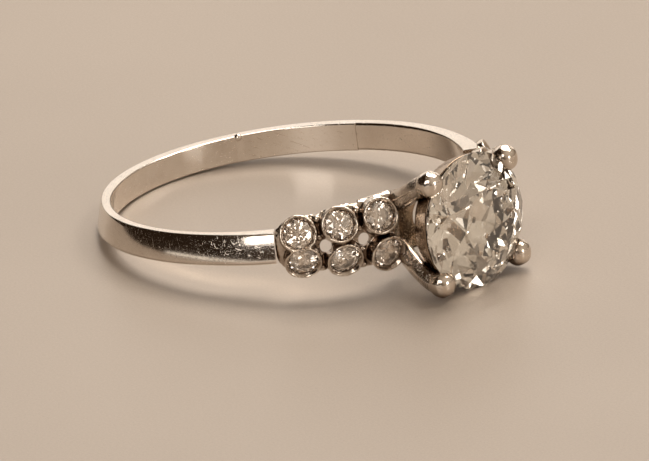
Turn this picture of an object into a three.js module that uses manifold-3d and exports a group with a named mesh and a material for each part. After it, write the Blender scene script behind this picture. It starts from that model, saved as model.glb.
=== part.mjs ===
// Engagement ring: split shank, two stone-set shoulders, a four-claw head, one centre stone, twelve melee.
// Units are millimetres, +Z up. The ring is modelled about its own finger axis (local Z, stone towards
// local +X) and then tipped once, so that it lies on the table on the edge of its stone and its band.
import * as THREE from 'three';
import { ConvexGeometry } from 'three/addons/geometries/ConvexGeometry.js';
import { mergeVertices } from 'three/addons/utils/BufferGeometryUtils.js';
import Module from 'manifold-3d';

const V3 = (x, y, z) => new THREE.Vector3(x, y, z);

// ---------------------------------------------------------------- driving dimensions
const FINGER_R = 8.25;            // inside radius of the band, US size 6
const GAP = 0.015;                // clearance between neighbouring pieces
const JOIN = 49.6;                // degrees from the stone to the shank/shoulder joint
const SEAM_A = 111;               // solder seams of the sizing insert, degrees
const SEAM_B = 151.6;
const BAND = { half: 0.688, taper: 0.0048, thick: 0.861, thickSwing: 0.099, flat: 0.76, ease: 0.09 };
const FLARE = { from: 72, extra: 0.2 };  // the band thickens towards the shoulders from this angle on
const SHOULDER_END = 14.2;        // degrees from the stone to the end of each shoulder
const WALL_GAP = 0.1;             // degrees left between neighbouring pieces around the band

// melee stations on one shoulder: angle, rim radius, offset from the middle plane, roof angle,
// and how many degrees nearer the head the lower cup sits
const STATIONS = [
  { at: 42.6, r: 9.58, z: 0.72, roof: 21, slip: 0.5 },
  { at: 31.1, r: 9.76, z: 0.89, roof: 20, slip: 0.4 },
  { at: 19.9, r: 10.02, z: 0.95, roof: 14, slip: 1.0 },
];
const FAR_TRIM = 0.1;             // the far rows sit this much closer together
const MELEE = { d: 1.34, table: 0.56, crown: 0.15, pavilion: 0.43, girdle: 0.03, culet: 0.03, half: 0.76 };
const MELEE_SINK = 0.16;          // rim of the cup above the girdle plane
const CUP = { r: 0.85, foot: 0.9, depth: 0.62 };
const PIERCE = { at: [35.4, 24.5], lean: [3, 9], wide: 0.56, tall: 0.64, drop: 0.1 };

const STONE = { d: 6.3, table: 0.53, crown: 0.158, pavilion: 0.43, girdle: 0.018, culet: 0.045, half: 0.62 };
const STONE_X = 11.95;            // girdle plane of the centre stone
const COLLAR = { low: 10.72, high: 11.78, lowR: 2.72, highR: 3.12, wall: 0.36 };
const CLAW_R = 0.56;              // rounded claw tips
const CLAWS = {
  near_upper: V3(11.88, -2.47, 2.44),
  near_lower: V3(11.92, -2.49, -2.32),
  far_upper: V3(11.95, 2.43, 2.24),
  far_lower: V3(11.95, 2.56, -2.32),
};
const BASE = { r: 8.98, half: 1.4, window: 0.9 };

// ---------------------------------------------------------------- materials
const metal = new THREE.MeshStandardMaterial({ color: 0xc9c3bb, metalness: 1, roughness: 0.22 });
const metalInsert = new THREE.MeshStandardMaterial({ color: 0xd1cbc2, metalness: 1, roughness: 0.26 });
const diamond = new THREE.MeshStandardMaterial({ color: 0xf2f0ea, metalness: 0, roughness: 0.03 });
const meleeStone = new THREE.MeshStandardMaterial({ color: 0xe6dfd4, metalness: 0, roughness: 0.05 });

// ---------------------------------------------------------------- solids
const wasm = await Module();
wasm.setup();

const rad = THREE.MathUtils.degToRad;
const polar = (r, deg, z) => V3(r * Math.cos(rad(deg)), r * Math.sin(rad(deg)), z);
const mix = (a, b, t) => a + (b - a) * t;

function toSolid(geometry) {
  const g = geometry.clone();
  g.deleteAttribute('normal');
  g.deleteAttribute('uv');
  const welded = mergeVertices(g, 1e-5);
  const keep = [];
  const idx = welded.index.array;
  for (let i = 0; i < idx.length; i += 3) {
    const [a, b, c] = [idx[i], idx[i + 1], idx[i + 2]];
    if (a !== b && b !== c && c !== a) keep.push(a, b, c);
  }
  const build = (tris) => new wasm.Manifold(new wasm.Mesh({
    numProp: 3,
    vertProperties: new Float32Array(welded.attributes.position.array),
    triVerts: new Uint32Array(tris),
  }));
  const solid = build(keep);
  return solid.volume() < 0 ? build(keep.slice().reverse()) : solid;
}

function fromSolid(solid) {
  const m = solid.getMesh();
  const g = new THREE.BufferGeometry();
  g.setAttribute('position', new THREE.BufferAttribute(new Float32Array(m.vertProperties), 3));
  g.setIndex(new THREE.BufferAttribute(new Uint32Array(m.triVerts), 1));
  const flat = g.toNonIndexed();
  flat.computeVertexNormals();
  return flat;
}

// closed body through a row of matching convex loops, capped at both ends
function loft(loops) {
  const n = loops[0].length;
  const pos = [];
  const push = (a, b, c) => pos.push(a.x, a.y, a.z, b.x, b.y, b.z, c.x, c.y, c.z);
  for (let s = 0; s + 1 < loops.length; s++) {
    for (let i = 0; i < n; i++) {
      const j = (i + 1) % n;
      push(loops[s][i], loops[s][j], loops[s + 1][j]);
      push(loops[s][i], loops[s + 1][j], loops[s + 1][i]);
    }
  }
  const last = loops[loops.length - 1];
  for (let i = 1; i + 1 < n; i++) {
    push(loops[0][0], loops[0][i + 1], loops[0][i]);
    push(last[0], last[i], last[i + 1]);
  }
  const g = new THREE.BufferGeometry();
  g.setAttribute('position', new THREE.Float32BufferAttribute(pos, 3));
  return toSolid(g);
}

// body of revolution about +X of the given placement; profile points are [along axis, radius]
function turned(profile, steps, matrix) {
  const g = new THREE.LatheGeometry(profile.map(([h, r]) => new THREE.Vector2(r, h)), steps);
  g.rotateZ(-Math.PI / 2);
  if (matrix) g.applyMatrix4(matrix);
  return toSolid(g);
}

function bead(centre, r, detail = 2) {
  return toSolid(new THREE.IcosahedronGeometry(r, detail).translate(centre.x, centre.y, centre.z));
}

const fuse = (...solids) => solids.reduce((a, b) => a.add(b));
const largest = (solid) => solid.decompose().sort((a, b) => b.volume() - a.volume())[0];
const cut = (body, ...tools) => tools.reduce((a, b) => a.subtract(b), body);

// ---------------------------------------------------------------- band
function bandLoop(deg, inner) {
  const c = Math.cos(rad(deg));
  const near = Math.min(deg, 360 - deg);
  const f = THREE.MathUtils.smoothstep(FLARE.from - near, 0, FLARE.from - JOIN);
  const thick = BAND.thick + BAND.thickSwing * c + FLARE.extra * f;
  const side = FINGER_R + thick * BAND.flat;
  const top = FINGER_R + thick;
  const e = BAND.ease;
  const half = (r) => BAND.half + BAND.taper * r * c;
  const upper = [[inner, half(inner) - e], [inner + e * 0.3, half(inner) - e * 0.3]];
  upper.push([inner + e, half(inner + e)], [side, half(side)]);
  for (let k = 1; k < 3; k++) {
    const a = Math.PI * k / 6;
    upper.push([side + (top - side) * Math.sin(a), half(side) * Math.cos(a)]);
  }
  const lower = upper.map(([r, z]) => [r, -z]).reverse();
  return [...upper, [top, 0], ...lower].map(([r, z]) => polar(r, deg, z)).reverse();
}

function bandArc(from, to, steps, inner = FINGER_R) {
  const loops = [];
  for (let i = 0; i <= steps; i++) loops.push(bandLoop(mix(from, to, i / steps), inner));
  return loft(loops);
}

const shankLong = bandArc(SEAM_B + WALL_GAP, 360 - JOIN - WALL_GAP, 32);
const shankShort = bandArc(JOIN + WALL_GAP, SEAM_A - WALL_GAP, 14, FINGER_R + 0.05);
const solderNub = bead(polar(FINGER_R + 0.1, SEAM_B - 1.2, BAND.half - 0.12), 0.2);
const insertArc = bandArc(SEAM_A, SEAM_B, 9);
const insert = fuse(insertArc, solderNub);

// ---------------------------------------------------------------- brilliant-cut stones
// convex set of facet corners, girdle plane at x = 0, table towards +X
function brilliant(p, grow = 0) {
  const R = p.d / 2 + grow;
  const rt = p.table * p.d / 2 + grow * 0.6;
  const rc = p.culet * p.d / 2;
  const g = p.girdle * p.d / 2;
  const h = p.crown * p.d + grow;
  const d = p.pavilion * p.d + grow;
  const rm = mix(rt, R, 0.52) / Math.cos(rad(9));
  const hm = g + (h - g) * (R - rm * Math.cos(rad(22.5))) / (R - rt);
  const rl = mix(R, rc, p.half);
  const dl = g + (d - g) * (R - rl * Math.cos(rad(22.5))) / (R - rc);
  const pts = [];
  for (let k = 0; k < 16; k++) {
    const a = 22.5 * k;
    const on = (x, r) => pts.push(V3(x, r * Math.cos(rad(a)), r * Math.sin(rad(a))));
    on(g, R);
    on(-g, R);
    if (k % 2 === 0) {
      on(h, rt);
      on(-d, rc);
    } else {
      on(hm, rm);
      on(-dl, rl);
    }
  }
  return toSolid(new ConvexGeometry(pts));
}

// placement with local +X along `axis`
function placed(at, axis) {
  const q = new THREE.Quaternion().setFromUnitVectors(V3(1, 0, 0), axis.clone().normalize());
  return new THREE.Matrix4().compose(at, q, V3(1, 1, 1));
}

function moved(solid, matrix) {
  return solid.transform(matrix.toArray());
}

// ---------------------------------------------------------------- shoulders
// side is -1 for the shoulder at local -Y and +1 for the one at +Y
function stationsOf(side) {
  const list = [];
  STATIONS.forEach((s, i) => {
    for (const row of [1, -1]) {
      const at = side * (s.at - (row < 0 ? s.slip : 0));
      const radial = polar(1, at, 0);
      const axis = radial.clone().multiplyScalar(Math.cos(rad(s.roof)));
      axis.z = row * Math.sin(rad(s.roof));
      const rim = polar(s.r, at, row * (s.z - (side > 0 ? FAR_TRIM : 0)));
      list.push({ axis, rim, row, order: i + 1 });
    }
  });
  return list;
}

const plateHalf = (t) => mix(0.94, 1.66, Math.pow(t, 0.6));
const plateTop = (t) => mix(9.18, 9.74, t);
const plateEdge = (t) => mix(9.02, 9.3, t);

// outer radius of the bare plate at an angle and a distance from the middle plane
function plateR(deg, z) {
  const t = (deg - JOIN) / (SHOULDER_END - JOIN);
  const u = Math.min(Math.abs(z) / plateHalf(t), 1);
  const knee = mix(plateEdge(t), plateTop(t), 0.62);
  return u < 0.55 ? mix(plateTop(t), knee, u / 0.55) : mix(knee, plateEdge(t), (u - 0.55) / 0.45);
}

function shoulderLoop(t, side, grow) {
  const deg = mix(JOIN, SHOULDER_END, t);
  const half = plateHalf(t) + grow;
  const top = plateTop(t) + grow;
  const edge = plateEdge(t) + grow;
  const inner = FINGER_R - (grow > 0 ? grow : 0);
  const pts = [[inner, -half + 0.16], [inner, half - 0.16], [inner + 0.16, half], [edge - 0.1, half]];
  pts.push([edge, half - 0.08], [mix(edge, top, 0.62), half * 0.55], [top, half * 0.16]);
  pts.push([top, -half * 0.16], [mix(edge, top, 0.62), -half * 0.55], [edge, -half + 0.08]);
  pts.push([edge - 0.1, -half], [inner + 0.16, -half]);
  const loop = pts.map(([r, z]) => polar(r, side * deg, z));
  return side > 0 ? loop : loop.reverse();
}

function shoulderBody(side, grow = 0) {
  const loops = [];
  for (let i = 0; i <= 8; i++) loops.push(shoulderLoop(i / 8, side, grow));
  return loft(loops);
}

// wedge that fills the shoulder's arc out to radius r
function wedge(side, from, to, r, half) {
  const loops = [];
  for (let i = 0; i <= 4; i++) {
    const a = side * mix(from, to, i / 4);
    const loop = [polar(6, a, -half), polar(6, a, half), polar(r, a, half), polar(r, a, -half)];
    loops.push(side > 0 ? loop : loop.reverse());
  }
  return loft(loops);
}

const cupProfile = [
  [-CUP.depth, 0], [-CUP.depth, CUP.r * CUP.foot], [-0.06, CUP.r], [0, CUP.r - 0.06], [0, 0],
];
const seatR = MELEE.d / 2 + GAP;
const seatDeep = MELEE.pavilion * MELEE.d + MELEE_SINK;
const seatProfile = [
  [-seatDeep - 0.08, 0], [-MELEE_SINK - 0.05, seatR],
  [0.02, seatR + 0.02], [0.6, seatR + 0.2], [0.6, 0],
];

// drilled through the plate, the drill leaning towards the band
function pierceTool(deg, lean, side) {
  const hole = turned([[8.9, 0], [8.9, 0.5], [10.6, 0.5], [10.6, 0]], 16);
  const stretch = new THREE.Matrix4().makeScale(1, PIERCE.wide, PIERCE.tall);
  const back = new THREE.Matrix4().makeTranslation(-9.45, 0, 0);
  const turn = new THREE.Matrix4().makeRotationZ(rad(side * lean));
  const out = new THREE.Matrix4().makeTranslation(9.45, 0, -PIERCE.drop);
  const place = new THREE.Matrix4().makeRotationZ(rad(side * deg));
  return moved(moved(hole, stretch), place.multiply(out).multiply(turn).multiply(back));
}

// hollow behind the pierced holes, widening towards the finger
function relief(side) {
  const loops = [];
  for (let i = 0; i <= 3; i++) {
    const a = side * mix(PIERCE.at[0] + 4.3, PIERCE.at[1] - 2.7, i / 3);
    const loop = [polar(8, a, -0.95), polar(8, a, 0.95), polar(8.9, a, 0.62), polar(9.28, a, 0.36)];
    loop.push(polar(9.28, a, -0.36), polar(8.9, a, -0.62));
    loops.push(side > 0 ? loop.reverse() : loop);
  }
  return loft(loops);
}

function buildShoulder(side) {
  const stations = stationsOf(side);
  let body = shoulderBody(side);
  for (const s of stations) body = body.add(turned(cupProfile, 22, placed(s.rim, s.axis)));
  const grains = [];
  for (let i = 0; i < 2; i++) {
    const deg = (STATIONS[i].at + STATIONS[i + 1].at) / 2;
    for (const row of [1, -1]) {
      const z = (STATIONS[i].z + STATIONS[i + 1].z) / 2;
      grains.push(bead(polar(plateR(deg, z + 0.3) + 0.03, side * deg, row * (z + 0.3)), 0.19, 1));
      grains.push(bead(polar(plateR(deg, z - 0.46) + 0.03, side * deg, row * (z - 0.46)), 0.15, 1));
    }
  }
  body = fuse(body, ...grains);
  body = cut(body, ...stations.map((s) => turned(seatProfile, 22, placed(s.rim, s.axis))));
  body = cut(body, ...PIERCE.at.map((deg, i) => pierceTool(deg, PIERCE.lean[i], side)), relief(side));
  body = body.intersect(wedge(side, JOIN - 0.02, SHOULDER_END, 12, 4));
  return largest(body);
}

const shoulderNear = buildShoulder(-1);
const shoulderFar = buildShoulder(1);

// ---------------------------------------------------------------- head
const onX = (solid) => moved(solid, new THREE.Matrix4().makeTranslation(STONE_X, 0, 0));
const centreStone = onX(brilliant(STONE));
const stoneRoom = onX(brilliant(STONE, GAP));

function collarSolid(grow) {
  const out = [
    [COLLAR.low - grow, COLLAR.lowR + grow],
    [mix(COLLAR.low, COLLAR.high, 0.5), mix(COLLAR.lowR, COLLAR.highR, 0.42) + grow],
    [COLLAR.high - 0.08, COLLAR.highR + grow], [COLLAR.high + grow, COLLAR.highR - 0.06 + grow],
  ];
  return turned([[out[0][0], 0], ...out, [out[3][0], 0]], 36);
}

const collarBore = turned([
  [COLLAR.low - 1, 0], [COLLAR.low - 1, COLLAR.lowR - COLLAR.wall],
  [COLLAR.low + 0.3, COLLAR.lowR - COLLAR.wall],
  [COLLAR.high - 0.1, COLLAR.highR - 0.3], [COLLAR.high + 1, COLLAR.highR - 0.2], [COLLAR.high + 1, 0],
], 36);
const collar = cut(collarSolid(0), collarBore, stoneRoom);

function headBase() {
  const loops = [];
  for (let i = 0; i <= 10; i++) {
    const a = mix(-SHOULDER_END + WALL_GAP, SHOULDER_END - WALL_GAP, i / 10);
    const z = BASE.half;
    const loop = [polar(FINGER_R, a, -z + 0.14), polar(FINGER_R, a, z - 0.14), polar(FINGER_R + 0.14, a, z)];
    loop.push(polar(BASE.r - 0.1, a, z), polar(BASE.r, a, z - 0.1), polar(BASE.r, a, -z + 0.1));
    loop.push(polar(BASE.r - 0.1, a, -z), polar(FINGER_R + 0.14, a, -z));
    loops.push(loop);
  }
  const window = turned([[7, 0], [7, BASE.window + 0.25], [10, BASE.window - 0.15], [10, 0]], 32);
  return cut(loft(loops), window, stoneRoom);
}

const clawPath = [
  V3(8.7, 1.82, 1.12), V3(9.25, 2.04, 1.26), V3(9.9, 2.3, 1.52), V3(10.6, 2.5, 1.86),
  V3(11.2, 2.58, 2.16), V3(11.6, 2.55, 2.32), V3(11.92, 2.48, 2.33),
];
const clawWide = [0.42, 0.42, 0.41, 0.4, 0.42, 0.46, 0.42];
const clawThick = [0.46, 0.46, 0.44, 0.42, 0.42, 0.44, 0.4];

function along(list, t) {
  const k = Math.min(t * (list.length - 1), list.length - 1.0001);
  const j = Math.floor(k);
  return mix(list[j], list[j + 1], k - j);
}

// rounded-square bar bent up to its own tip, with a bead that folds over the stone
function claw(tip) {
  const sy = Math.sign(tip.y);
  const sz = Math.sign(tip.z);
  const last = clawPath[clawPath.length - 1];
  const lean = V3(tip.x - last.x, tip.y - last.y * sy, tip.z - last.z * sz);
  const points = clawPath.map((p, i) => {
    const f = Math.pow(i / (clawPath.length - 1), 1.5);
    return V3(p.x, p.y * sy, p.z * sz).addScaledVector(lean, f);
  });
  const curve = new THREE.CatmullRomCurve3(points);
  const loops = [];
  const rings = 10;
  const sides = 12;
  for (let i = 0; i <= rings; i++) {
    const t = i / rings;
    const at = curve.getPoint(t);
    const dir = curve.getTangent(t);
    const outward = V3(0, at.y, at.z).normalize();
    const u = outward.clone().addScaledVector(dir, -outward.dot(dir)).normalize();
    const w = dir.clone().cross(u);
    const loop = [];
    for (let q = 0; q < sides; q++) {
      const ca = Math.cos(2 * Math.PI * q / sides);
      const sa = Math.sin(2 * Math.PI * q / sides);
      const k = 1 / Math.pow(Math.abs(ca) ** 2.6 + Math.abs(sa) ** 2.6, 1 / 2.6);
      loop.push(at.clone().addScaledVector(u, along(clawWide, t) * ca * k)
        .addScaledVector(w, along(clawThick, t) * sa * k));
    }
    loops.push(loop);
  }
  const shoulderRoom = wedge(sy, JOIN, SHOULDER_END - WALL_GAP, 10.12, 4);
  return cut(fuse(loft(loops), bead(tip, CLAW_R)), stoneRoom, collarSolid(GAP), bandRoom(), shoulderRoom);
}

// everything inside the outer face of the head base
function bandRoom() {
  const loops = [-3, 3].map((z) => {
    const loop = [];
    for (let i = 0; i < 72; i++) loop.push(polar((BASE.r + GAP) / Math.cos(rad(2.5)), i * 5, z));
    return loop;
  });
  return loft(loops);
}

// ---------------------------------------------------------------- assembly
const ring = new THREE.Group();
ring.name = 'ring';
function addPiece(name, solid, material) {
  const mesh = new THREE.Mesh(fromSolid(solid), material);
  mesh.name = name;
  ring.add(mesh);
}

addPiece('shank_long', shankLong, metal);
addPiece('shank_short', shankShort, metal);
addPiece('sizing_insert', insert, metalInsert);
addPiece('shoulder_near', shoulderNear, metal);
addPiece('shoulder_far', shoulderFar, metal);
addPiece('head_base', headBase(), metal);
addPiece('bearing_collar', collar, metal);
for (const [where, tip] of Object.entries(CLAWS)) addPiece(`claw_${where}`, claw(tip), metal);
addPiece('centre_stone', centreStone, diamond);
for (const [where, side] of [['near', -1], ['far', 1]]) {
  for (const s of stationsOf(side)) {
    const at = s.rim.clone().addScaledVector(s.axis, -MELEE_SINK);
    const name = `melee_${where}_${s.row > 0 ? 'upper' : 'lower'}_${s.order}`;
    addPiece(name, moved(brilliant(MELEE), placed(at, s.axis)), meleeStone);
  }
}

// tip the ring about Y until the edge of the stone and the back of the band share the table plane
const backR = FINGER_R + (BAND.thick - BAND.thickSwing) * BAND.flat;
const backHalf = BAND.half - BAND.taper * backR;
const stoneR = STONE.d / 2;
const tilt = Math.atan2(stoneR - backHalf, STONE_X - STONE.girdle * stoneR + backR);
const part = new THREE.Group();
part.name = 'engagement_ring';
part.add(ring);
ring.rotation.y = -tilt;
part.updateMatrixWorld(true);
const box = new THREE.Box3().setFromObject(part, true);
ring.position.set(-(box.min.x + box.max.x) / 2, -(box.min.y + box.max.y) / 2, -box.min.z);
part.updateMatrixWorld(true);

export default part;
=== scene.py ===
import math

import bmesh
import bpy
import numpy as np
from mathutils import Matrix, Vector


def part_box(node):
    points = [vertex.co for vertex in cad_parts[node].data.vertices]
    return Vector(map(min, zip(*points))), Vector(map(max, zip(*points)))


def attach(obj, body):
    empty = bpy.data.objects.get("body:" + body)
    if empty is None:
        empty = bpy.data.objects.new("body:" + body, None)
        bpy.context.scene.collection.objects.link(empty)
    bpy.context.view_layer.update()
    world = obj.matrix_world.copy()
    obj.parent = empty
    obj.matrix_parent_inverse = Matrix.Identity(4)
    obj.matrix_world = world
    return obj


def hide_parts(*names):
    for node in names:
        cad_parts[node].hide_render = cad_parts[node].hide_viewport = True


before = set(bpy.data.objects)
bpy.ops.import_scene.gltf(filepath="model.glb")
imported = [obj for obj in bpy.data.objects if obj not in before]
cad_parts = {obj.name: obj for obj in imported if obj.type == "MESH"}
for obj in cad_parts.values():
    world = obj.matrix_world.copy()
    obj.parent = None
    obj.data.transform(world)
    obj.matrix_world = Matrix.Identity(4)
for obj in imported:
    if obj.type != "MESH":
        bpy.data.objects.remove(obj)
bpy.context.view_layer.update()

MM = 0.001

# ------------------------------------------------------------------ dimensions in mm
# these drive the CAD part too; angles are degrees round the finger axis from the middle of the head
FINGER_R = 8.25
JOIN, SHOULDER_END = 49.6, 14.2
SEAM_A, SEAM_B = 111.0, 151.6
BAND_HALF, BAND_TAPER = 0.688, 0.0048
BAND_T, BAND_SWING, BAND_FLAT = 0.861, 0.099, 0.76
# cup pairs of a shoulder: angle, rim radius, rim height, lean of the cup, slip of the lower one
STATIONS = (
    (42.6, 9.58, 0.72, 21.0, 0.5),
    (31.1, 9.76, 0.89, 20.0, 0.4),
    (19.9, 10.02, 0.95, 14.0, 1.0),
)
FAR_TRIM = 0.1  # the far shoulder's cups sit this much nearer the middle of the band
MELEE_D, MELEE_SINK = 1.34, 0.16
CUP_R = 0.85
PIERCED = (35.4, 24.5)
STONE_D, STONE_X, STONE_GIRDLE = 6.3, 11.95, 0.018
COLLAR = (10.72, 11.78, 2.72, 3.12)
CLAW_R = 0.56
CLAWS = {
    "near_upper": (11.88, -2.47, 2.44),
    "near_lower": (11.92, -2.49, -2.32),
    "far_upper": (11.95, 2.43, 2.24),
    "far_lower": (11.95, 2.56, -2.32),
}
BASE_R, BASE_HALF = 8.98, 1.4

# details of the visual model alone
PLATE_TOP, PLATE_EDGE = (9.18, 9.74), (9.0, 9.28)
PLATE_BACK = 8.95  # back of the shoulder plates; the CAD plates reach in to FINGER_R
CUP_BACK, NICK_R, NOTCH_R = 0.9, 0.09, 0.17
NICKS = (37.6, 36.0, 26.4, 24.8)
GRAINS = ((0.36, 0.0, 0.2), (-0.44, 0.06, 0.15))
HOLE_LEAN, HOLE_WIDE, HOLE_TALL, HOLE_FROM = (3.0, 9.0), 0.27, 0.3, 8.9
CREST_Z, WORN_AT, SWELL_FROM = -0.44, 258, 72
TRIM_GAP = 0.012

rad = math.radians


def mix(a, b, t):
    return a + (b - a) * t


def sstep(a, b, x):
    t = np.clip((x - a) / (b - a), 0.0, 1.0)
    return t * t * (3 - 2 * t)


# the ring's own frame: finger axis along Z, stone towards +X, tipped about Y to lie on the table
BACK_R = FINGER_R + (BAND_T - BAND_SWING) * BAND_FLAT
BACK_HALF = BAND_HALF - BAND_TAPER * BACK_R
STONE_EDGE_X = STONE_X - STONE_GIRDLE * STONE_D / 2
TILT = math.atan2(STONE_D / 2 - BACK_HALF, STONE_EDGE_X + BACK_R)
TURN = np.array(Matrix.Rotation(-TILT, 3, "Y"))


def ring_origin():
    """Where the ring's own frame sits, from the frame's boxes of the band and the centre stone."""
    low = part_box("shank_long")[0]
    ang = np.radians(np.linspace(SEAM_B + 0.1, 360 - JOIN - 0.1, 400))
    rim = FINGER_R + BAND_T + BAND_SWING * np.cos(ang)
    pts = np.stack([rim * np.cos(ang), rim * np.sin(ang), 0 * ang], -1) @ TURN.T
    x0 = low.x / MM - pts[:, 0].min()
    lo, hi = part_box("centre_stone")
    z0 = lo.z / MM + STONE_D / 2 * math.cos(TILT) - STONE_EDGE_X * math.sin(TILT)
    return np.array([x0, (lo.y + hi.y) / 2 / MM, z0])


ORIGIN = ring_origin()


def to_world(points):
    """Ring-frame millimetres to the part's frame in metres."""
    return (np.asarray(points, float).reshape(-1, 3) @ TURN.T + ORIGIN) * MM


# ------------------------------------------------------------------ mesh helpers
def mesh_object(name, verts, faces, material, smooth=True, normals=None, world=True):
    """One object from vertices and faces in ring-frame millimetres, or in metres without world."""
    me = bpy.data.meshes.new(name)
    co = to_world(verts) if world else np.asarray(verts, float)
    if isinstance(faces, np.ndarray):
        n, k = faces.shape
        me.vertices.add(len(co))
        me.vertices.foreach_set("co", co.astype(np.float32).ravel())
        me.loops.add(n * k)
        me.loops.foreach_set("vertex_index", faces.astype(np.int32).ravel())
        me.polygons.add(n)
        me.polygons.foreach_set("loop_start", np.arange(0, n * k, k, dtype=np.int32))
        me.update(calc_edges=True)
    else:
        me.from_pydata([tuple(p) for p in co], [], faces)
    me.validate()
    me.polygons.foreach_set("use_smooth", np.full(len(me.polygons), smooth))
    if normals is not None:
        me.normals_split_custom_set_from_vertices((np.asarray(normals) @ TURN.T).tolist())
    me.update()
    me.materials.append(material)
    ob = bpy.data.objects.new(name, me)
    bpy.context.scene.collection.objects.link(ob)
    return ob


def finish_piece(ob, nodes):
    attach(ob, "root")
    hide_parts(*nodes)


# ------------------------------------------------------------------ distance fields
def smin(a, b, k):
    """The smaller of two distances, with a fillet about k wide where they are alike."""
    h = np.maximum(k - np.abs(a - b), 0.0) / k
    return np.minimum(a, b) - h * h * k * 0.25


def smax(a, b, k):
    return -smin(-a, -b, k)


def surface(field, low, high, h):
    """Quads on the zero level of a distance field, with normals from the field itself."""
    # a coarse pass finds the blocks near the surface, and only those are sampled at h
    low, high = np.array(low, float), np.array(high, float)
    block = 4
    count = np.ceil((high - low) / (h * block)).astype(int) + 1
    centre = [low[i] + (np.arange(count[i]) * block + (block - 1) / 2) * h for i in range(3)]
    grid = np.stack(np.meshgrid(*centre, indexing="ij"), -1)
    coarse = field(grid.reshape(-1, 3)).reshape(count)
    f = np.kron(np.sign(coarse), np.ones((block,) * 3)).astype(np.float32)
    f[f == 0] = 1
    cells = np.argwhere(np.abs(coarse) < h * block * 1.35)
    local = np.stack(np.meshgrid(*[np.arange(block)] * 3, indexing="ij"), -1).reshape(-1, 3)
    for s in range(0, len(cells), 6000):
        idx = (cells[s:s + 6000, None, :] * block + local[None]).reshape(-1, 3)
        f[idx[:, 0], idx[:, 1], idx[:, 2]] = field(low + idx * h)
    f[0], f[-1], f[:, 0], f[:, -1], f[:, :, 0], f[:, :, -1] = 1, 1, 1, 1, 1, 1
    # one vertex in each cell that the surface crosses, at the mean of its edge crossings
    inside = f < 0
    corners = [(i, j, k) for i in (0, 1) for j in (0, 1) for k in (0, 1)]
    part = [slice(0, -1), slice(1, None)]
    total = sum(inside[part[i], part[j], part[k]].astype(np.uint8) for i, j, k in corners)
    mixed = (total > 0) & (total < 8)
    cell = np.argwhere(mixed)
    number = np.full(mixed.shape, -1, np.int64)
    number[mixed] = np.arange(len(cell))
    val = {c: f[cell[:, 0] + c[0], cell[:, 1] + c[1], cell[:, 2] + c[2]] for c in corners}
    acc = np.zeros((len(cell), 3))
    hits = np.zeros(len(cell))
    for a in corners:
        for axis in range(3):
            if a[axis]:
                continue
            b = tuple(1 if i == axis else a[i] for i in range(3))
            va, vb = val[a], val[b]
            cross = (va < 0) != (vb < 0)
            t = np.where(cross, va / np.where(cross, va - vb, 1), 0)
            p = np.array(a, float)[None] + t[:, None] * (np.arange(3) == axis)[None]
            acc += np.where(cross[:, None], p, 0)
            hits += cross
    verts = low + (cell + acc / hits[:, None]) * h
    # one face across each grid edge that the surface crosses
    quads = []
    for axis in range(3):
        o1, o2 = [i for i in range(3) if i != axis]
        a = [slice(None)] * 3
        b = [slice(None)] * 3
        a[axis], b[axis] = slice(0, -1), slice(1, None)
        e = np.argwhere(inside[tuple(a)] != inside[tuple(b)])
        for o in (o1, o2):
            e = e[(e[:, o] > 0) & (e[:, o] < f.shape[o] - 1)]
        ring = []
        for d1, d2 in ((1, 1), (0, 1), (0, 0), (1, 0)):
            c = e.copy()
            c[:, o1] -= d1
            c[:, o2] -= d2
            ring.append(number[c[:, 0], c[:, 1], c[:, 2]])
        quads.append(np.stack(ring, -1))
    quads = np.concatenate(quads)
    # the vertices are pulled onto the surface, and the faces turned outwards
    eps = h * 0.25
    for _ in range(2):
        g = gradient(field, verts, eps)
        step = np.clip(field(verts), -h, h)[:, None]
        verts = verts - step * g / np.maximum((g * g).sum(1), 0.3)[:, None]
    g = gradient(field, verts, eps)
    g = g / np.maximum(np.linalg.norm(g, axis=1), 1e-6)[:, None]
    a, b, c, d = (verts[quads[:, i]] for i in range(4))
    wrong = (np.cross(c - a, d - b) * g[quads].mean(1)).sum(1) < 0
    quads[wrong] = quads[wrong][:, ::-1]
    return verts, quads, g


def gradient(field, p, eps):
    g = np.empty_like(p)
    for i in range(3):
        d = np.zeros(3)
        d[i] = eps
        g[:, i] = (field(p + d) - field(p - d)) / (2 * eps)
    return g


# ------------------------------------------------------------------ shoulders
def along_plate(deg):
    """0 where the plate meets the band, 1 where it meets the head."""
    return (JOIN - deg) / (JOIN - SHOULDER_END)


def plate_half(t):
    """Half height of the plate, before the cups."""
    return mix(0.94, 1.66, np.clip(t, 0, 1) ** 0.6)


def edge_half(t, upper, trim):
    """The same with the near plate's upper edge, which runs straight past its cups."""
    if upper and trim == 0:
        return mix(1.04, 1.73, np.clip(t, 0, 1) ** 0.5)
    return plate_half(t)


ARC = rad(1) * 9.2  # millimetres in one degree, at the plate


def station_frames(trim):
    """Rim centre, outward axis, row and order of the six cups, on the +Y side."""
    out = []
    for i, (at, r, z, roof, slip) in enumerate(STATIONS):
        for row in (1, -1):
            place_at = rad(at if row > 0 else at - slip)
            c, s = math.cos(place_at), math.sin(place_at)
            flat, rise = math.cos(rad(roof)), math.sin(rad(roof))
            axis = np.array([c * flat, s * flat, row * rise])
            out.append((np.array([r * c, r * s, row * (z - trim)]), axis, row, i + 1))
    return out


def cup_coordinates(p, centre, axis):
    """Height above a cup's rim and distance from its axis."""
    q = p - centre
    h = q @ axis
    return h, np.sqrt(np.maximum((q * q).sum(1) - h * h, 0))


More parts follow.
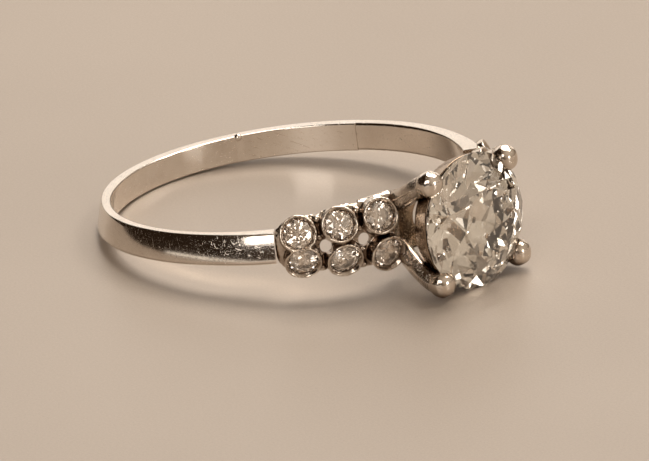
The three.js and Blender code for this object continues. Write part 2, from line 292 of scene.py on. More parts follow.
def shoulder_field(trim):
    """A domed plate with six cups, grains, nicks, two pierced holes and a shallow hollow in its back.

    It is the shoulder on the +Y side. The first pair of seats is deep enough to open at the back.
    """
    frames = station_frames(trim)

    def field(p):
        x, y, z = p[:, 0], p[:, 1], p[:, 2]
        r = np.hypot(x, y)
        deg = np.degrees(np.arctan2(y, x))
        t = np.clip(along_plate(deg), 0, 1)
        half = np.where(z > 0, edge_half(t, True, trim), edge_half(t, False, trim))
        top, edge = mix(*PLATE_TOP, t), mix(*PLATE_EDGE, t)
        u = np.minimum(np.abs(z) / half, 1.2)
        join_end = (deg - JOIN) * ARC
        head_end = (SHOULDER_END - deg) * ARC
        outline = smax(np.abs(z) - half, join_end, 0.6)
        d = smax(r - (top - (top - edge) * u ** 1.5), outline, 0.24)
        for c, a, _, _ in frames:
            h, rho = cup_coordinates(p, c, a)
            outer = smax(rho - (CUP_R + 0.02 + 0.05 * np.minimum(h + 0.3, 0)), h, 0.09)
            d = smin(d, smax(outer, -h - CUP_BACK, 0.1), 0.07)
        # grains between the cups, and a notch in each edge there
        for one, two in zip(STATIONS, STATIONS[1:]):
            mid = (one[0] + two[0]) / 2
            height = (one[2] + two[2]) / 2 - trim
            c, s = math.cos(rad(mid)), math.sin(rad(mid))
            tm = along_plate(mid)
            for row in (1, -1):
                for dz, dr, size in GRAINS:
                    zc = row * (height + dz)
                    rc = mix(*PLATE_TOP, tm) - 0.22 * (abs(zc) / plate_half(tm)) ** 1.5 + dr
                    grain = np.linalg.norm(p - np.array([rc * c, rc * s, zc]), axis=1) - size
                    d = smin(d, grain, 0.05)
                zc = row * (edge_half(tm, row > 0, trim) + 0.1)
                d = smax(d, NOTCH_R - np.hypot(x * s - y * c, z - zc), 0.1)
        # engraved nicks along both edges; the same cut takes off all that lies behind PLATE_BACK
        for row in (1, -1):
            for k, nick in enumerate(NICKS):
                zc = row * (edge_half(along_plate(nick), row > 0, trim) + 0.02)
                away = np.hypot(x * math.sin(rad(nick)) - y * math.cos(rad(nick)), z - zc)
                d = smax(d, np.maximum(NICK_R + 0.02 * (k % 2) - away, PLATE_BACK - r), 0.04)
        # slight unevenness of hand work
        d = d + 0.011 * np.sin(7.3 * x + 2.1 + 1.5 * z) * np.sin(8.1 * y + 0.7) * np.sin(6.7 * z + 1.9)
        d = d + 0.007 * np.sin(19 * x + 1.1) * np.sin(17 * y + 2.7 + 4 * z) * np.sin(21 * z)
        # seats for the small stones
        wall = MELEE_D / 2 - 0.01
        for c, a, _, _ in frames:
            h, rho = cup_coordinates(p, c, a)
            cone = (rho - (wall + 0.02 + (h + MELEE_SINK + 0.03) * 1.15)) * 0.66
            bore = rho - (wall + 0.01 + 0.72 * np.maximum(h + MELEE_SINK, 0))
            seat = np.maximum(np.maximum(cone, bore), -h - CUP_BACK)
            d = smax(d, -seat, 0.03)
        # pierced holes and the hollow behind them
        for where, lean in zip(PIERCED, HOLE_LEAN):
            at, tip = rad(where), rad(where + lean)
            qx, qy = x - 9.45 * math.cos(at), y - 9.45 * math.sin(at)
            side = np.abs(qx * math.sin(tip) - qy * math.cos(tip))
            across = np.hypot(side / HOLE_WIDE, (z + 0.1) / HOLE_TALL) - 1
            hole = np.maximum(across * 0.28, HOLE_FROM - r)
            d = smax(d, -hole, 0.04)
        inner_half = np.interp(r, [8.0, 8.9, 9.28], [0.95, 0.62, 0.4])
        pocket = np.maximum(np.abs(z) - inner_half, r - 9.24)
        ends = np.maximum(deg - PIERCED[0] - 4.3, PIERCED[1] - 2.7 - deg)
        d = smax(d, -np.maximum(pocket, ends * 0.15), 0.08)
        return np.maximum(d, np.maximum(join_end + 0.02 * ARC, head_end))
    return field


def build_shoulder(name, side, trim, material, h):
    """The +Y shoulder from its field, or its mirror image for the -Y side."""
    v, q, n = surface(shoulder_field(trim), (5.0, 1.8, -2.05), (10.1, 7.5, 2.05), h)
    if side < 0:
        v, n = v * (1, -1, 1), n * (1, -1, 1)
        q = q[:, ::-1]
    return mesh_object(name, v, q, material, True, n)


# ------------------------------------------------------------------ head
CROWN_RISE, CROWN_RUN = 0.938, 1.48
PAVILION_DROP, PAVILION_RUN = 2.652, 3.008
GIRDLE_HALF = 0.057


def clear_of_stone(field):
    """The field with the centre stone's envelope of revolution cut away."""
    def trimmed(p):
        u, over = p[:, 0] - STONE_X, np.hypot(p[:, 1], p[:, 2]) - STONE_D / 2
        crown = over * CROWN_RISE + (u - GIRDLE_HALF) * CROWN_RUN
        pavilion = over * PAVILION_DROP - (u + GIRDLE_HALF) * PAVILION_RUN
        stone = np.maximum(crown / math.hypot(CROWN_RISE, CROWN_RUN),
                           pavilion / math.hypot(PAVILION_DROP, PAVILION_RUN))
        return smax(field(p), -(np.maximum(stone, over) - TRIM_GAP), 0.02)
    return trimmed


# one claw from its foot on the bridge to its tip, and its section's half widths along the way
CLAW_PATH = np.array([
    (8.7, 1.82, 1.12), (9.25, 2.04, 1.26), (9.9, 2.3, 1.52), (10.6, 2.5, 1.86),
    (11.2, 2.58, 2.16), (11.6, 2.55, 2.32), (11.92, 2.48, 2.33)])
CLAW_AT = (0, 0.5, 0.8, 1)
CLAW_DEEP, CLAW_WIDE = (0.44, 0.42, 0.44, 0.5), (0.46, 0.44, 0.46, 0.52)
CLAW_POWER, TIP_POWER = 2.8, 2.35
TIP_SHAPE = np.array([0.9, 1.02, 1.04])


def smooth_path(points, n):
    """Catmull-Rom through the points, n samples."""
    p = np.vstack([2 * points[0] - points[1], points, 2 * points[-1] - points[-2]])
    out = []
    for s in np.linspace(0, len(points) - 1.0001, n):
        i = int(s)
        t = s - i
        a, b, c, d = p[i:i + 4]
        out.append(0.5 * (2 * b + (c - a) * t + (2 * a - 5 * b + 4 * c - d) * t * t
                          + (3 * b - a - 3 * c + d) * t ** 3))
    return np.array(out)


def claw_field(tip):
    """A bent bar with soft corners that ends in a rounded button, and its centre line."""
    tip = np.array(tip)
    sign = np.array([1, math.copysign(1, tip[1]), math.copysign(1, tip[2])])
    f = (np.arange(len(CLAW_PATH)) / (len(CLAW_PATH) - 1)) ** 1.5
    path = CLAW_PATH * sign + f[:, None] * (tip - CLAW_PATH[-1] * sign)
    pts = smooth_path(path, 33)

    def field(p):
        d = None
        n = len(pts) - 1
        for i in range(n):
            a, b = pts[i], pts[i + 1]
            ab = b - a
            t = np.clip(((p - a) @ ab) / (ab @ ab), 0, 1)
            q = p - (a + t[:, None] * ab)
            s = (i + t) / n
            along = ab / np.linalg.norm(ab)
            outward = (a + b) / 2 * (0, 1, 1)
            outward = outward / np.linalg.norm(outward)
            outward = outward - along * (outward @ along)
            outward = outward / np.linalg.norm(outward)
            u = np.abs((q @ outward) / np.interp(s, CLAW_AT, CLAW_DEEP))
            w = np.abs((q @ np.cross(along, outward)) / np.interp(s, CLAW_AT, CLAW_WIDE))
            rest = np.abs(q @ along)
            depth = ((u ** CLAW_POWER + w ** CLAW_POWER) ** (1 / CLAW_POWER) - 1) * 0.4
            one = np.where(depth > 0, np.hypot(depth, rest), np.where(rest > 1e-9, rest, depth))
            d = one if d is None else np.minimum(d, one)
        q = np.abs((p - tip) / TIP_SHAPE)
        button = (q ** TIP_POWER).sum(1) ** (1 / TIP_POWER) - CLAW_R
        return smin(d, button, 0.2)
    return field, pts


def collar_field(p):
    """The round collar that the centre stone sits in."""
    low, high, r0, r1 = COLLAR
    x, rho = p[:, 0], np.hypot(p[:, 1], p[:, 2])
    outer = rho - mix(r0, r1, np.clip((x - low) / (high - low), 0, 1) ** 0.8)
    d = smax(outer, np.maximum(low - x, x - high), 0.07)
    bore = np.interp(x, [low, low + 0.3, high - 0.1, high],
                     [r0 - 0.36, r0 - 0.36, r1 - 0.3, r1 - 0.24])
    return smax(d, bore - rho, 0.05)


def base_field(p):
    """The bridge under the stone, with its round window."""
    x, y, z = p[:, 0], p[:, 1], p[:, 2]
    r = np.hypot(x, y)
    deg = np.degrees(np.arctan2(y, x))
    d = smax(r - BASE_R, np.abs(z) - BASE_HALF, 0.14)
    d = smax(d, FINGER_R - r, 0.1)
    window = np.hypot(y, z) - np.interp(x, [7, 10], [1.15, 0.75])
    d = smax(d, -window, 0.1)
    return np.maximum(d, (np.abs(deg) - SHOULDER_END + 0.05) * rad(1) * 8.6)


# ------------------------------------------------------------------ band
def band_outline(deg, inner, e):
    """Closed section outline and its normals in (r, z) at one angle; e rounds the inner edges."""
    c = math.cos(rad(deg))
    swell = float(sstep(0, SWELL_FROM - JOIN, SWELL_FROM - min(deg, 360 - deg)))
    thick = BAND_T + BAND_SWING * c + 0.2 * swell
    top = FINGER_R + thick
    lean = BAND_TAPER * c
    pts, nor = [], []

    def put(r, z, nr, nz):
        pts.append((r, z))
        nor.append((nr, nz))

    # the outer face is highest near its lower edge and falls away upwards, most where it is worn
    half_in = BAND_HALF + lean * (inner + e)
    worn = max(0.0, math.cos(rad(deg - WORN_AT))) ** 2
    flank = {1: FINGER_R + thick * (0.8 - 0.31 * worn), -1: FINGER_R + thick * 0.72}
    h = BAND_HALF + lean * FINGER_R
    span = h - CREST_Z
    slope = min(0.16 + 0.24 * max(0.0, -c), 0.82 * (top - flank[1]) / span)
    peak = top - slope * (h + CREST_Z) * 0.6
    drop = max(0.0, peak - flank[1] - slope * span) * 0.94 / span ** 2

    def outside(z):
        return peak - slope * (z - CREST_Z) - drop * (z - CREST_Z) ** 2

    def steepness(z):
        return slope + 2 * drop * (z - CREST_Z)

    def upper_or_lower(sign):
        side = flank[sign]
        for z in (0.0, 0.5, 0.9):
            put(inner, sign * z * (half_in - e), -1, 0)
        for k in range(6):
            a = math.pi / 2 * k / 5
            put(inner + e - e * math.cos(a), sign * (half_in - e + e * math.sin(a)),
                -math.cos(a), sign * math.sin(a))
        for k in (0.35, 0.7):
            r = mix(inner + e, side - 0.06, k)
            put(r, sign * h, 0, sign)
        # a rounded corner from the flank to the outer face, then the face itself
        z1 = h - 0.17 if sign > 0 else CREST_Z
        p2 = np.array([outside(z1), z1])
        corner = np.array([outside(z1) - steepness(z1) * (sign * h - z1), sign * h])
        p0 = np.array([side - 0.06, sign * h])
        for k in range(11):
            t = k / 10
            q = (1 - t) ** 2 * p0 + 2 * t * (1 - t) * corner + t * t * p2
            g = 2 * (1 - t) * (corner - p0) + 2 * t * (p2 - corner)
            n = math.hypot(*g)
            put(q[0], q[1], -sign * g[1] / n, sign * g[0] / n)
        if sign > 0:
            for k in range(1, 15):
                z = mix(z1, CREST_Z, k / 14)
                n = math.hypot(1, steepness(z))
                put(outside(z), z, 1 / n, steepness(z) / n)

    upper_or_lower(1)
    half = len(pts)
    upper_or_lower(-1)
    upper, un = pts[:half], nor[:half]
    lower, ln = pts[half + 1:-1][::-1], nor[half + 1:-1][::-1]
    return upper + lower, un + ln


def band_piece(name, start, end, steps, inner, material, ease=0.09, extra=None):
    """A length of band swept round the finger axis, with flat ends; extra joins a small lump to it."""
    verts, normals = [], []
    for i in range(steps + 1):
        deg = mix(start, end, i / steps)
        c, s = math.cos(rad(deg)), math.sin(rad(deg))
        pts, nor = band_outline(deg, inner, ease)
        # hand-filed unevenness, about a hundredth of a millimetre
        wave = 0.008 * math.sin(rad(deg) * 5 + 1) + 0.005 * math.sin(rad(deg) * 13)
        for (r, z), (nr, nz) in zip(pts, nor):
            r2 = r - abs(wave) * (1 if r > FINGER_R + 0.3 else 0)
            verts.append((r2 * c, r2 * s, z))
            normals.append((nr * c, nr * s, nz))
    n = len(pts)
    faces, corner = [], []
    for i in range(steps):
        for j in range(n):
            k = (j + 1) % n
            f = (i * n + j, i * n + k, (i + 1) * n + k, (i + 1) * n + j)
            faces.append(f)
            corner += [normals[v] for v in f]
    for ring, deg, sign in ((0, start, -1), (steps, end, 1)):
        cap = [ring * n + j for j in range(n)]
        cap = cap if sign > 0 else cap[::-1]
        faces.append(cap)
        t = (-math.sin(rad(deg)) * sign, math.cos(rad(deg)) * sign, 0)
        corner += [t] * n
    a, b, c, d = np.array(verts)[list(faces[0])]
    if np.dot(np.cross(c - a, d - b), corner[0]) < 0:
        turned, at = [], 0
        for f in faces:
            turned += corner[at:at + len(f)][::-1]
            at += len(f)
        faces, corner = [tuple(reversed(f)) for f in faces], turned
    if extra is not None:
        ev, ef, en = extra
        base = len(verts)
        verts = verts + [tuple(p) for p in ev]
        for f in ef:
            faces.append(tuple(int(x) + base for x in f))
            corner += [tuple(en[x]) for x in f]
    ob = mesh_object(name, verts, faces, material, True)
    ob.data.normals_split_custom_set((np.array(corner) @ TURN.T).tolist())
    return ob


# ------------------------------------------------------------------ stones
STAR_REACH = 0.52  # how far the star facets run from the table to the girdle
BLANK_SIDES = 96


def cut_stone(name, d, table, crown, pavilion, girdle, culet, half, at, axis, spin, material):
    """A brilliant cut from a round blank, facet by facet.

    Table, crown, pavilion, girdle and culet are shares of the diameter d; half is how far the lower
    halves reach from the girdle to the culet; spin turns the facets about the stone's axis.
    """
    R, rt, rc = d / 2, table * d / 2, culet * d / 2
    g, h, dp = girdle * d / 2, crown * d, pavilion * d
    rm = mix(rt, R, STAR_REACH) / math.cos(rad(9))
    hm = g + (h - g) * (R - rm * math.cos(rad(22.5))) / (R - rt)
    rl = mix(R, rc, half)
    dl = g + (dp - g) * (R - rl * math.cos(rad(22.5))) / (R - rc)

    def on(x, r, deg):
        return Vector((x, r * math.cos(rad(deg)), r * math.sin(rad(deg))))

    planes = [(Vector((h, 0, 0)), Vector((1, 0, 0))), (Vector((-dp, 0, 0)), Vector((-1, 0, 0)))]

    def facet(a, b, c):
        n = (b - a).cross(c - a).normalized()
        if n.dot((a + b + c) / 3) < 0:
            n = -n
        planes.append((a, n))

    for k in range(8):
        t = 45 * k
        facet(on(h, rt, t), on(hm, rm, t - 22.5), on(hm, rm, t + 22.5))
        facet(on(h, rt, t), on(h, rt, t + 45), on(hm, rm, t + 22.5))
        facet(on(-dp, rc, t), on(-dl, rl, t - 22.5), on(-dl, rl, t + 22.5))
        for sgn in (1, -1):
            facet(on(g, R, t), on(hm, rm, t + sgn * 22.5), on(g, R, t + sgn * 22.5))
            facet(on(-g, R, t), on(-dl, rl, t + sgn * 22.5), on(-g, R, t + sgn * 22.5))
    bm = bmesh.new()
    n = BLANK_SIDES
    rings = [[bm.verts.new(on(x, R, 360 * i / n)) for i in range(n)] for x in (dp * 1.2, -dp * 1.2)]
    for i in range(n):
        j = (i + 1) % n
        bm.faces.new((rings[0][i], rings[0][j], rings[1][j], rings[1][i]))
    bm.faces.new(rings[0])
    bm.faces.new(rings[1][::-1])
    for co, no in planes:
        geom = bm.verts[:] + bm.edges[:] + bm.faces[:]
        cut = bmesh.ops.bisect_plane(bm, geom=geom, dist=1e-6, plane_co=co, plane_no=no,
                                     clear_outer=True)["geom_cut"]
        edges = [e for e in cut if isinstance(e, bmesh.types.BMEdge) and e.is_boundary]
        if edges:
            bmesh.ops.holes_fill(bm, edges=edges, sides=0)
    bmesh.ops.remove_doubles(bm, verts=bm.verts[:], dist=1e-5)
    bmesh.ops.recalc_face_normals(bm, faces=bm.faces[:])
    spin_m = Matrix.Rotation(rad(spin), 4, "X")
    turn = Vector((1, 0, 0)).rotation_difference(Vector(axis)).to_matrix().to_4x4()
    bm.transform(Matrix.Translation(at) @ turn @ spin_m)
    me = bpy.data.meshes.new(name)
    bm.to_mesh(me)
    bm.free()
    co = np.empty(len(me.vertices) * 3)
    me.vertices.foreach_get("co", co)
    me.vertices.foreach_set("co", to_world(co).astype(np.float32).ravel())
    me.polygons.foreach_set("use_smooth", np.zeros(len(me.polygons), bool))
    me.materials.append(material)
    me.update()
    ob = bpy.data.objects.new(name, me)
    bpy.context.scene.collection.objects.link(ob)
    return ob


# ------------------------------------------------------------------ materials
def new_material(name):
    m = bpy.data.materials.new(name)
    m.use_nodes = True
    nt = m.node_tree
    nt.nodes.clear()
    out = nt.nodes.new("ShaderNodeOutputMaterial")
    bsdf = nt.nodes.new("ShaderNodeBsdfPrincipled")
    nt.links.new(bsdf.outputs[0], out.inputs["Surface"])
    return m, nt, bsdf


def noise(nt, vec, scale, detail=4.0, rough=0.55, distortion=0.0):
    n = nt.nodes.new("ShaderNodeTexNoise")
    n.inputs["Scale"].default_value = scale
    n.inputs["Detail"].default_value = detail
    n.inputs["Roughness"].default_value = rough
    n.inputs["Distortion"].default_value = distortion
    nt.links.new(vec, n.inputs["Vector"])
    return n.outputs["Fac"]


def ramp(nt, fac, stops):
    r = nt.nodes.new("ShaderNodeValToRGB")
    r.color_ramp.elements[0].position = stops[0][0]
    r.color_ramp.elements[0].color = stops[0][1]
    for pos, col in stops[1:-1]:
        e = r.color_ramp.elements.new(pos)
        e.color = col
    last = r.color_ramp.elements[len(stops) - 1]
    last.position, last.color = stops[-1][0], stops[-1][1]
    nt.links.new(fac, r.inputs["Fac"])
    return r.outputs["Color"]


def grey(v):
    return (v, v, v, 1)


def math_node(nt, op, a, b):
    m = nt.nodes.new("ShaderNodeMath")
    m.operation = op
    for i, x in enumerate((a, b)):
        if isinstance(x, (int, float)):
            m.inputs[i].default_value = x
        else:
            nt.links.new(x, m.inputs[i])
    return m.outputs[0]


def mapped(nt, scale, rotation=(0, 0, 0)):
    tc = nt.nodes.new("ShaderNodeTexCoord")
    mp = nt.nodes.new("ShaderNodeMapping")
    mp.inputs["Scale"].default_value = scale
    mp.inputs["Rotation"].default_value = rotation
    nt.links.new(tc.outputs["Object"], mp.inputs["Vector"])
    return mp.outputs[0]


def scratches(nt, angle, along, across, lo, hi):
    """Thin stretched noise: light where a hairline runs."""
    vec = mapped(nt, (1 / along, 1 / across, 1 / across), angle)
    vec.node.vector_type = "TEXTURE"
    n = noise(nt, vec, 1.0, 2.0, 0.5, 0.6)
    return ramp(nt, n, [(lo, grey(0)), (hi, grey(1))])


def in_millimetres(nt):
    return mapped(nt, (1000, 1000, 1000))


def mix_colours(nt, factor, a, b, blend="MIX"):
    """Colour mix; factor, a and b are each a value or a socket."""
    n = nt.nodes.new("ShaderNodeMix")
    n.data_type = "RGBA"
    n.blend_type = blend
    for i, x in ((0, factor), (6, a), (7, b)):
        if isinstance(x, (float, tuple)):
            n.inputs[i].default_value = x
        else:
            nt.links.new(x, n.inputs[i])
    return n.outputs[2]


def bumped(nt, shader, height, strength, distance):
    bp = nt.nodes.new("ShaderNodeBump")
    bp.inputs["Strength"].default_value = strength
    bp.inputs["Distance"].default_value = distance
    nt.links.new(height, bp.inputs["Height"])
    nt.links.new(bp.outputs[0], shader.inputs["Normal"])


def metal(name, tint, deep, rough_lo, rough_hi, hair, bump, patina_and_shade=None):
    """Worn white gold: soft colour change, hairlines, small dents, and patina with painted shade in
    the corners.
    """
    m, nt, b = new_material(name)
    obj = in_millimetres(nt)
    cloud = noise(nt, obj, 0.55, 5.0, 0.6)
    fine = noise(nt, obj, 9.0, 6.0, 0.6)
    speck = noise(nt, obj, 26.0, 2.0, 0.5)
    base = ramp(nt, cloud, [(0.3, (*deep, 1)), (0.62, (*tint, 1))])
    if patina_and_shade:
        # patina and painted shade: the base colour turns to the patina colour where ambient occlusion
        # finds hollows and gaps
        ao = nt.nodes.new("ShaderNodeAmbientOcclusion")
        ao.samples = 8
        ao.inputs["Distance"].default_value = 0.8 * MM
        open_air = ramp(nt, ao.outputs["AO"], [(0.38, grey(0)), (0.97, grey(1))])
        base = mix_colours(nt, open_air, (*patina_and_shade, 1.0), base)
    nt.links.new(base, b.inputs["Base Color"])
    b.inputs["Metallic"].default_value = 1.0
    lines_a = scratches(nt, (0.5, 0.35, 0.7), 600, 15000, 0.65, 0.72)
    lines_b = scratches(nt, (-0.4, 0.9, -0.5), 900, 19000, 0.67, 0.74)
    lines_c = scratches(nt, (1.2, -0.3, 1.9), 1300, 16000, 0.72, 0.78)
    lines = math_node(nt, "MAXIMUM", math_node(nt, "MAXIMUM", lines_a, lines_b), lines_c)
    dots = ramp(nt, speck, [(0.665, grey(0)), (0.72, grey(1))])
    wear = math_node(nt, "ADD", math_node(nt, "MULTIPLY", lines, hair),
                     math_node(nt, "MULTIPLY", dots, hair * 0.8))
    r1 = nt.nodes.new("ShaderNodeMapRange")
    r1.inputs["From Min"].default_value = 0.3
    r1.inputs["From Max"].default_value = 0.7
    r1.inputs["To Min"].default_value = rough_lo
    r1.inputs["To Max"].default_value = rough_hi
    nt.links.new(fine, r1.inputs["Value"])
    rough = math_node(nt, "ADD", r1.outputs[0], math_node(nt, "MULTIPLY", wear, 0.22))
    nt.links.new(rough, b.inputs["Roughness"])
    height = math_node(nt, "SUBTRACT", math_node(nt, "MULTIPLY", fine, 0.35), wear)
    bumped(nt, b, height, bump, 0.00001)
    return m


def diamond(name, tint_lo, tint_hi, scale, clear):
    """Nearly colourless diamond with the faintest dust on its facets."""
    m, nt, b = new_material(name)
    obj = in_millimetres(nt)
    n = noise(nt, obj, scale, 3.0, 0.5)
    col = ramp(nt, n, [(0.35, (*tint_lo, 1)), (0.65, (*tint_hi, 1))])
    nt.links.new(col, b.inputs["Base Color"])
    dust = noise(nt, obj, scale * 12, 4.0, 0.6)
    rr = ramp(nt, dust, [(0.5, grey(0.0)), (0.8, grey(0.02))])
    nt.links.new(rr, b.inputs["Roughness"])
    b.inputs["IOR"].default_value = 2.417
    b.inputs["Transmission Weight"].default_value = clear
    return m


WHITE_GOLD = metal("white_gold", (0.83, 0.765, 0.69), (0.74, 0.67, 0.595),
                   rough_lo=0.08, rough_hi=0.17, hair=0.75, bump=0.34)
# the cast pieces get patina and painted shade in their hollows
CAST_GOLD = metal("white_gold_setting", (0.82, 0.745, 0.66), (0.6, 0.515, 0.425),
                  rough_lo=0.08, rough_hi=0.2, hair=0.5, bump=0.5, patina_and_shade=(0.16, 0.1, 0.062))
# painted shade: a darker copy of the white gold for the collar and the bridge under the stone, also
# with patina and painted shade in its hollows
SHADED_HEAD_GOLD = metal("white_gold_shaded_head", (0.5, 0.4, 0.305), (0.36, 0.265, 0.185),
                   rough_lo=0.14, rough_hi=0.28, hair=0.5, bump=0.5, patina_and_shade=(0.13, 0.08, 0.05))
INSERT_GOLD = metal("white_gold_insert", (0.85, 0.79, 0.72), (0.77, 0.705, 0.635),
                    rough_lo=0.05, rough_hi=0.12, hair=0.7, bump=0.3)
DIAMOND = diamond("diamond", (0.955, 0.9, 0.8), (0.99, 0.96, 0.895), scale=0.5, clear=1.0)
SMALL_DIAMOND = diamond("melee_diamond", (0.92, 0.78, 0.64), (1.0, 0.96, 0.91),
                        scale=2.2, clear=0.94)


# ------------------------------------------------------------------ build
SEAM_GAP, JOIN_GAP = 0.01, 0.1  # degrees


def nub():
    """The little lump of solder on the inner edge of the insert, near its second seam."""
    at = rad(SEAM_B - 1.2)
    r = FINGER_R + 0.1
    centre = np.array([r * math.cos(at), r * math.sin(at), BAND_HALF - 0.12])

    def field(p):
        return np.linalg.norm((p - centre) * (1, 1, 1.1), axis=1) - 0.2
    return surface(field, centre - 0.3, centre + 0.3, 0.03)


def cast(name, field, low, high, h, material):
    """A smooth cast piece from its distance field, on a grid of h millimetres."""
    v, q, n = surface(field, low, high, h)
    return mesh_object(name, v, q, material, True, n)


finish_piece(
    band_piece("shank_long_arm", SEAM_B + SEAM_GAP, 360 - JOIN - JOIN_GAP, 220, FINGER_R, WHITE_GOLD),
    ["shank_long"])
finish_piece(
    band_piece("shank_short_arm", JOIN + JOIN_GAP, SEAM_A - SEAM_GAP, 90, FINGER_R + 0.05, WHITE_GOLD,
               ease=0.13),
    ["shank_short"])
finish_piece(
    band_piece("sizing_insert_arc", SEAM_A, SEAM_B, 60, FINGER_R, INSERT_GOLD, ease=0.06, extra=nub()),
    ["sizing_insert"])

SIDES = (("near", -1, 0.0, 0.034), ("far", 1, FAR_TRIM, 0.04))
for word, side, trim, h in SIDES:
    ob = build_shoulder(f"shoulder_{word}_cast", side, trim, CAST_GOLD, h)
    finish_piece(ob, [f"shoulder_{word}"])

for word, side, trim, _ in SIDES:
    for c, a, row, order in station_frames(trim):
        node = f"melee_{word}_{'upper' if row > 0 else 'lower'}_{order}"
        ob = cut_stone(
            node + "_cut", MELEE_D - 0.04, table=0.56, crown=0.15, pavilion=0.43, girdle=0.03,
            culet=0.03, half=0.76, at=Vector((c - a * (MELEE_SINK + 0.03)) * (1, side, 1)),
            axis=a * (1, side, 1), spin=11 + 37 * order + (19 if row > 0 else 0),
            material=SMALL_DIAMOND)
        finish_piece(ob, [node])

for word, tip in CLAWS.items():
    claw, line = claw_field(tip)
    ob = cast(f"claw_{word}_cast", clear_of_stone(claw), line.min(0) - 0.75, line.max(0) + 0.75, 0.03,
              CAST_GOLD)
    finish_piece(ob, [f"claw_{word}"])

ob = cast("bearing_collar_turned", clear_of_stone(collar_field), (10.5, -3.4, -3.4), (12.1, 3.4, 3.4),
          0.035, SHADED_HEAD_GOLD)
finish_piece(ob, ["bearing_collar"])
ob = cast("head_base_cast", base_field, (7.6, -2.6, -1.7), (9.2, 2.6, 1.7), 0.04, SHADED_HEAD_GOLD)
finish_piece(ob, ["head_base"])
ob = cut_stone(
    "centre_stone_cut", STONE_D, table=0.53, crown=0.158, pavilion=0.43, girdle=STONE_GIRDLE,
    culet=0.045, half=0.45, at=Vector((STONE_X, 0, 0)), axis=(1, 0, 0), spin=0, material=DIAMOND)
finish_piece(ob, ["centre_stone"])


# ------------------------------------------------------------------ table, light and camera
def floor_material():
    """A plain warm grey table top with a fine grain."""
    m, nt, b = new_material("table_surface")
    obj = in_millimetres(nt)
    broad = noise(nt, obj, 0.03, 3.0, 0.5)
    fine = noise(nt, obj, 9.0, 6.0, 0.75)
    base = ramp(nt, broad, [(0.35, (0.375, 0.318, 0.268, 1)), (0.65, (0.40, 0.341, 0.288, 1))])
    grain = ramp(nt, fine, [(0.3, grey(0.86)), (0.7, grey(1.03))])
    nt.links.new(mix_colours(nt, 1.0, base, grain, "MULTIPLY"), b.inputs["Base Color"])
    b.inputs["Roughness"].default_value = 0.42
    bumped(nt, b, fine, 0.2, 0.00005)
    return m


def flat_grid(name, size, n, material):
    """A square of n by n faces on the table plane; size in metres."""
    t = (np.arange(n + 1) / n - 0.5) * size
    x, y = np.meshgrid(t, t, indexing="ij")
    v = np.stack([x.ravel(), y.ravel(), 0 * x.ravel()], -1)
    corner = [i * (n + 1) + j for i in range(n) for j in range(n)]
    faces = [(k, k + n + 1, k + n + 2, k + 1) for k in corner]
    return mesh_object(name, v, faces, material, False, world=False)


floor = flat_grid("table_top", 1.6, 8, floor_material())

CAM_AZ, CAM_EL, CAM_ROLL = rad(44.344), rad(21.509), rad(-2.204)
CAM_DIST, CAM_SHIFT = 400.0, (1.686, -1.849)  # mm from the ring's origin, and aside in the view
SENSOR, LENS = 36, 477.0986
back = np.array([math.sin(CAM_AZ) * math.cos(CAM_EL), -math.cos(CAM_AZ) * math.cos(CAM_EL),
                 math.sin(CAM_EL)])
right = np.array([math.cos(CAM_AZ), math.sin(CAM_AZ), 0])
up = np.cross(back, right)
cr, sr = math.cos(CAM_ROLL), math.sin(CAM_ROLL)
cam_r, cam_u = right * cr + up * sr, -right * sr + up * cr


def lamp(name, az, el, dist, power, colour, wide, tall):
    """A softbox aimed at the ring; az runs from the camera side, el is above the table, degrees."""
    a, el = CAM_AZ + rad(az), rad(el)
    d = Vector((math.sin(a) * math.cos(el), -math.cos(a) * math.cos(el), math.sin(el)))
    data = bpy.data.lights.new(name, "AREA")
    data.shape = "RECTANGLE"
    data.size, data.size_y = wide, tall
    data.energy = power
    data.color = colour
    ob = bpy.data.objects.new(name, data)
    ob.matrix_world = Matrix.Translation(d * dist) @ d.to_track_quat("Z", "Y").to_matrix().to_4x4()
    bpy.context.scene.collection.objects.link(ob)


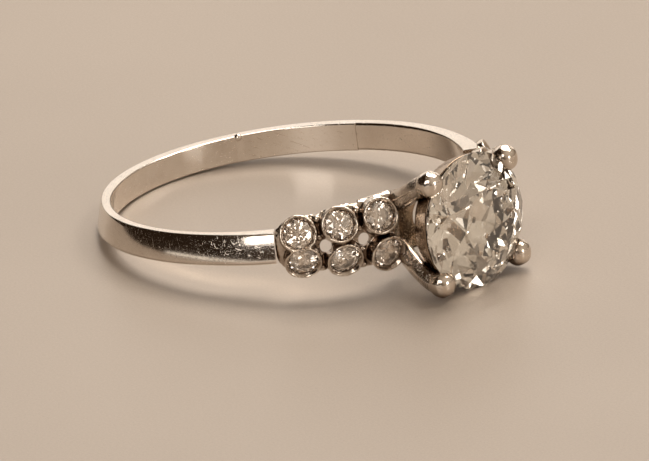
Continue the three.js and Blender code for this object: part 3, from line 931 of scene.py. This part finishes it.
# name, direction in degrees, distance in metres, watts, colour, width and height in metres
for row in (
    ("overhead", 160, 62, 0.6, 3.05, (1.0, 0.92, 0.83), 0.36, 0.36),
    ("behind", 180, 20, 0.7, 1.6, (1.0, 0.9, 0.8), 1.1, 0.4),
    ("front_left", -18, 34, 0.6, 0.85, (1.0, 0.93, 0.86), 0.24, 0.24),
    ("low_left", -40, 2.2, 0.5, 0.07, (1.0, 0.9, 0.78), 0.8, 0.03),
    ("right_back", 108, 50, 0.6, 0.8, (1.0, 0.95, 0.89), 0.15, 0.15),
    ("right_low", 62, 9, 0.6, 0.45, (1.0, 0.95, 0.89), 0.12, 0.12),
):
    lamp(*row)

# the room: dark on the ring's near left, lighter above and to the right
ROOM_AXIS = (0.62, 0.28, 0.62)
ROOM = [(0.0, (0.02, 0.011, 0.006, 1)), (0.3, (0.045, 0.026, 0.015, 1)),
        (0.56, (0.33, 0.26, 0.195, 1)), (0.92, (0.62, 0.52, 0.42, 1))]
world = bpy.data.worlds.new("room")
world.use_nodes = True
room = world.node_tree
background = room.nodes["Background"]
direction = room.nodes.new("ShaderNodeTexCoord")
dot = room.nodes.new("ShaderNodeVectorMath")
dot.operation = "DOT_PRODUCT"
dot.inputs[1].default_value = ROOM_AXIS
room.links.new(direction.outputs["Generated"], dot.inputs[0])
room.links.new(ramp(room, dot.outputs["Value"], ROOM), background.inputs["Color"])
background.inputs["Strength"].default_value = 1.0

cam_data = bpy.data.cameras.new("main")
cam_data.sensor_fit = "HORIZONTAL"
cam_data.sensor_width = SENSOR
cam_data.lens = LENS
cam_data.clip_start, cam_data.clip_end = 0.01, 10
cam_data.dof.use_dof = False
cam = bpy.data.objects.new("main", cam_data)
place = (ORIGIN + cam_r * CAM_SHIFT[0] + cam_u * CAM_SHIFT[1] + back * CAM_DIST) * MM
m = Matrix.Identity(4)
for i in range(3):
    m[i][0], m[i][1], m[i][2], m[i][3] = cam_r[i], cam_u[i], back[i], place[i]
cam.matrix_world = m

scene = bpy.context.scene
scene.collection.objects.link(cam)
scene.camera = cam
scene.world = world
scene.cycles.max_bounces = 26
scene.cycles.transmission_bounces = 24
scene.cycles.glossy_bounces = 12
scene.cycles.diffuse_bounces = 4
scene.cycles.transparent_max_bounces = 12
scene.cycles.caustics_reflective = True
scene.cycles.caustics_refractive = True
scene.cycles.blur_glossy = 0.0
scene.cycles.sample_clamp_indirect = 12
scene.cycles.use_denoising = True
scene.view_settings.view_transform = "Standard"
scene.view_settings.look = "None"
scene.view_settings.exposure = 0.0
